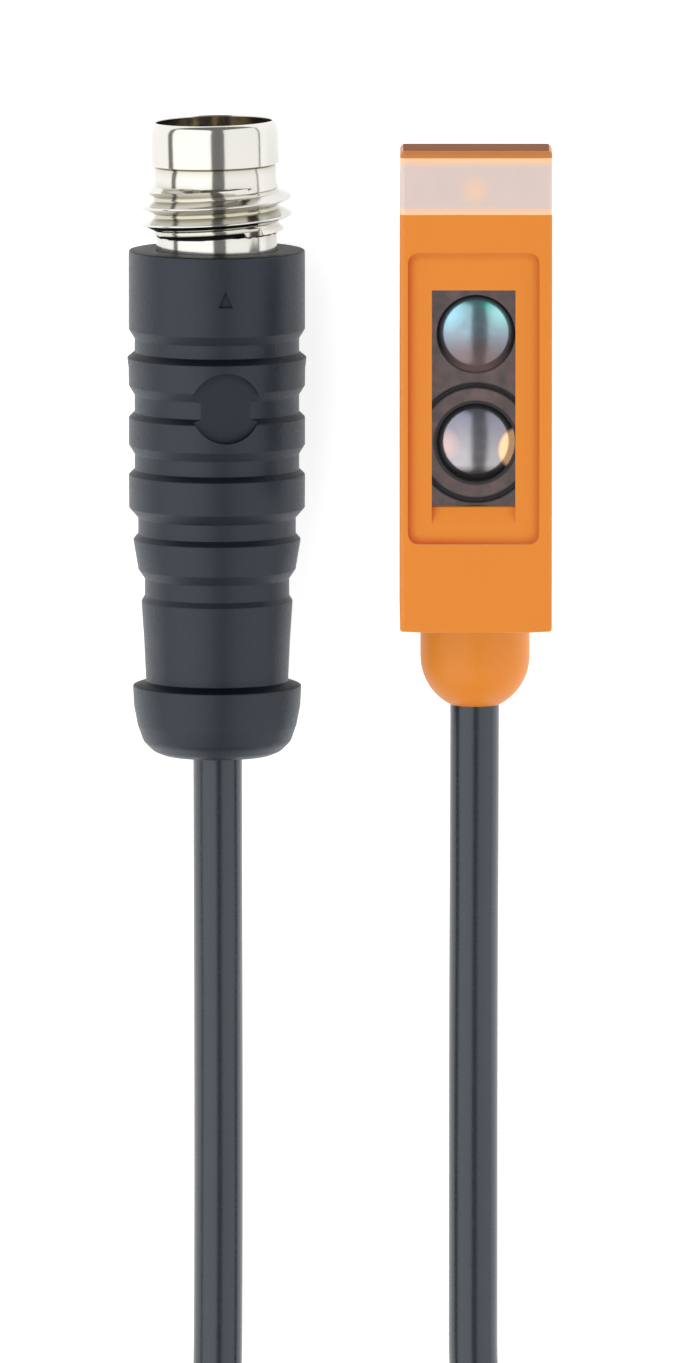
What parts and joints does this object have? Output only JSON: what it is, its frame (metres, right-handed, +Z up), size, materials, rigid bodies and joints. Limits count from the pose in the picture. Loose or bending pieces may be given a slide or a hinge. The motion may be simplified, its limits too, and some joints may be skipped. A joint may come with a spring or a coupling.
{
  "type": "miniature photoelectric sensor with pigtail plug",
  "caption": "Slim box-shaped photoelectric sensor with sunken optics window, milky light cap, domed cable outlet and a thin cable ending in a threaded round plug.",
  "frame": {"origin": "bottom centre of the sensor head as it lies on its flat back, measured without the cable and its plug", "axes": "+Z up, out of the optics window; +Y along the housing towards the light cap; X across the 8 mm width"},
  "size_m": [0.0314, 0.1022, 0.0135],
  "materials": {
    "orange_housing": "fine satin moulded texture",
    "led_window": "milky translucent",
    "clear_pane": "polished",
    "lens_clear": "polished, coated",
    "optics_black": "matte black",
    "board_green": "solder mask",
    "chip_black": "matte",
    "chip_red": "clear resin",
    "smd_ceramic": "ceramic with tinned ends",
    "led_yellow": "clear resin",
    "led_green": "clear resin",
    "bush_steel": "turned",
    "seal_rubber": "matte",
    "crimp_metal": "tinned",
    "jacket_black": "satin extruded jacket",
    "core_brown": "insulated core",
    "core_blue": "insulated core",
    "core_black": "insulated core",
    "nickel": "nickel-plated brass",
    "insert_black": "glass-filled",
    "gold": "gold-plated",
    "mould_black": "hard pre-mould",
    "grip_black": "fine spark-eroded matte texture",
    "tie_black": "woven hook-and-loop"
  },
  "bodies": {
    "root": {"housing_shell": "orange_housing", "rear_cover": "orange_housing", "led_cap": "led_window", "front_pane": "clear_pane", "emitter_lens": "lens_clear", "receiver_lens": "lens_clear", "optics_carrier": "optics_black", "optics_board": "board_green", "emitter_led": "chip_red", "receiver_photodiode": "chip_black", "main_pcb": "board_green", "sensor_asic": "chip_black", "smd_parts": "smd_ceramic", "status_led": "led_yellow", "power_led": "led_green", "mounting_bush_upper": "bush_steel", "mounting_bush_lower": "bush_steel", "cable_grommet": "seal_rubber", "cable_crimp_ring": "crimp_metal", "head_wire_brown": "core_brown", "head_wire_blue": "core_blue", "head_wire_black": "core_black", "threaded_sleeve": "nickel", "contact_carrier": "insert_black", "contact_pins": "gold", "plug_inner_mould": "mould_black", "plug_grip": "grip_black", "plug_crimp_ring": "crimp_metal", "plug_wire_brown": "core_brown", "plug_wire_blue": "core_blue", "plug_wire_black": "core_black", "cable_coil": "jacket_black", "coil_tie": "tie_black", "cable_head_run": "jacket_black", "cable_plug_run": "jacket_black"}
  },
  "joints": []
}
